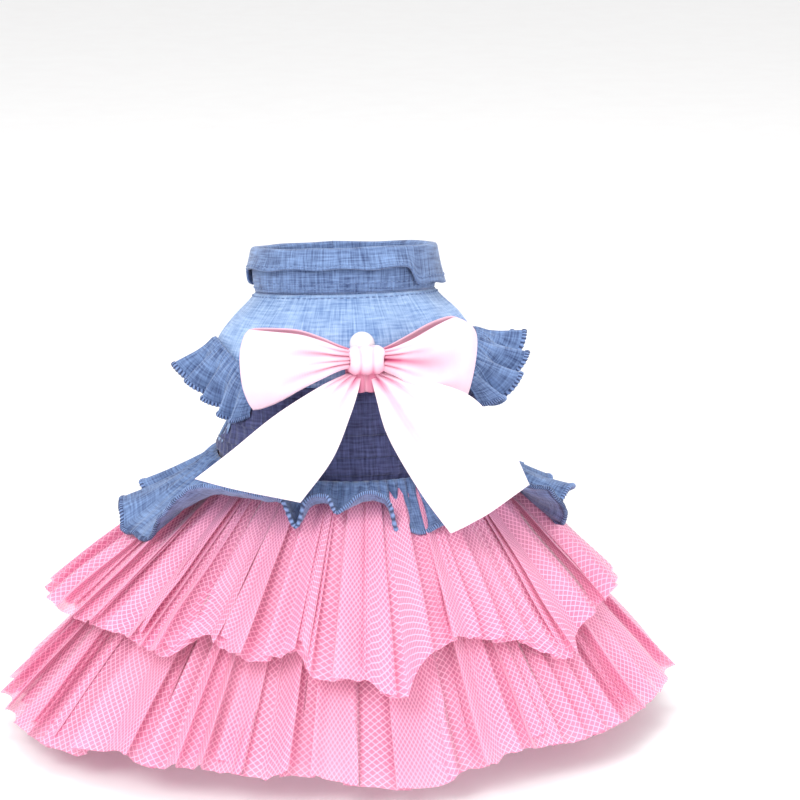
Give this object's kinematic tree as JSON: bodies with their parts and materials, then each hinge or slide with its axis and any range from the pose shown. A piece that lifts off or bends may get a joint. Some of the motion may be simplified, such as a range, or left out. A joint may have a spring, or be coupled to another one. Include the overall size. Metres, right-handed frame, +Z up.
{
  "type": "dog dress",
  "caption": "Small dog dress with denim bodice, turned-down collar, frilled shoulders, pink satin bow, denim peplum and tiered pink tulle skirt",
  "frame": {"origin": "The centre of the neck opening, at the collar's seam", "axes": "+Z up through the neck, -Y the back that carries the bow, +X to the right of the back as seen"},
  "size_m": [0.2873, 0.1817, 0.1979],
  "materials": {
    "chambray": "light blue slub chambray, matt",
    "indigo": "dark indigo denim, matt",
    "denim": "mid blue denim, matt",
    "tulle": "pink tulle net, soft sheen",
    "satin": "pale pink satin, soft gloss",
    "pearl": "white pearl-like plastic, glossy"
  },
  "bodies": {
    "root": {"yoke": "chambray", "belly_placket": "chambray", "waist_panel": "indigo", "collar_stand": "denim", "collar_leaf": "denim", "frill_left": "denim", "frill_right": "denim", "peplum": "denim", "tulle_upper": "tulle", "tulle_lower": "tulle", "bow_knot": "satin", "bow_back": "satin", "bow_loop_left": "satin", "bow_loop_right": "satin", "bow_tail_left": "satin", "bow_tail_right": "satin", "pearl_button": "pearl"}
  },
  "joints": []
}
